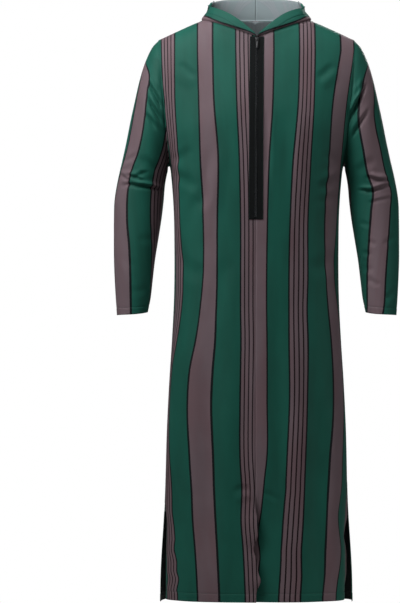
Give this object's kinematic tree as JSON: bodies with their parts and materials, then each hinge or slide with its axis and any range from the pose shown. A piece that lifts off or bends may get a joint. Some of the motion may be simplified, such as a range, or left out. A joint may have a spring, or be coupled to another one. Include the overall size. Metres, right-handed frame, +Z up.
{
  "type": "hooded djellaba robe",
  "caption": "Long hooded robe in its worn form, with straight sleeves, a closed front zip, a front vent and side slits.",
  "frame": {"origin": "middle of the neck opening, level with the upper ends of the shoulder seams, where the wearer's neck and shoulders hold the robe", "axes": "+Z up, the front towards -Y, the wearer's left towards +X"},
  "size_m": [0.687, 0.3453, 1.4605],
  "materials": {
    "back_cloth": "printed plain-weave polyester, green and mauve stripes with dark pinstripes, soft satin sheen",
    "front_left_cloth": "printed plain-weave polyester, green and mauve stripes with dark pinstripes, soft satin sheen",
    "front_right_cloth": "printed plain-weave polyester, green and mauve stripes with dark pinstripes, soft satin sheen",
    "sleeve_left_cloth": "printed plain-weave polyester, green and mauve stripes with dark pinstripes, soft satin sheen",
    "sleeve_right_cloth": "printed plain-weave polyester, green and mauve stripes with dark pinstripes, soft satin sheen",
    "hood_left_cloth": "printed plain-weave polyester, green and mauve stripes with dark pinstripes, soft satin sheen",
    "hood_right_cloth": "printed plain-weave polyester, green and mauve stripes with dark pinstripes, soft satin sheen",
    "zip_tape_left_weave": "black herringbone zip tape",
    "zip_tape_right_weave": "black herringbone zip tape",
    "zip_slider_metal": "black enamelled zinc, worn bright on its edges",
    "zip_pull_metal": "black enamelled zinc, worn bright on its edges"
  },
  "bodies": {
    "robe": {"back": "back_cloth", "front_left": "front_left_cloth", "front_right": "front_right_cloth", "sleeve_left": "sleeve_left_cloth", "sleeve_right": "sleeve_right_cloth", "hood_left": "hood_left_cloth", "hood_right": "hood_right_cloth", "zip_tape_left": "zip_tape_left_weave", "zip_tape_right": "zip_tape_right_weave", "zip_slider": "zip_slider_metal"},
    "pull_tab": {"zip_pull": "zip_pull_metal"}
  },
  "joints": [
    {"name": "pull_tab_hinge", "type": "hinge", "parent": "robe", "child": "pull_tab", "pos_m": [0, -0.08272, -0.05149], "axis": [-1, 0, 0], "range_deg": [0, 150]}
  ]
}
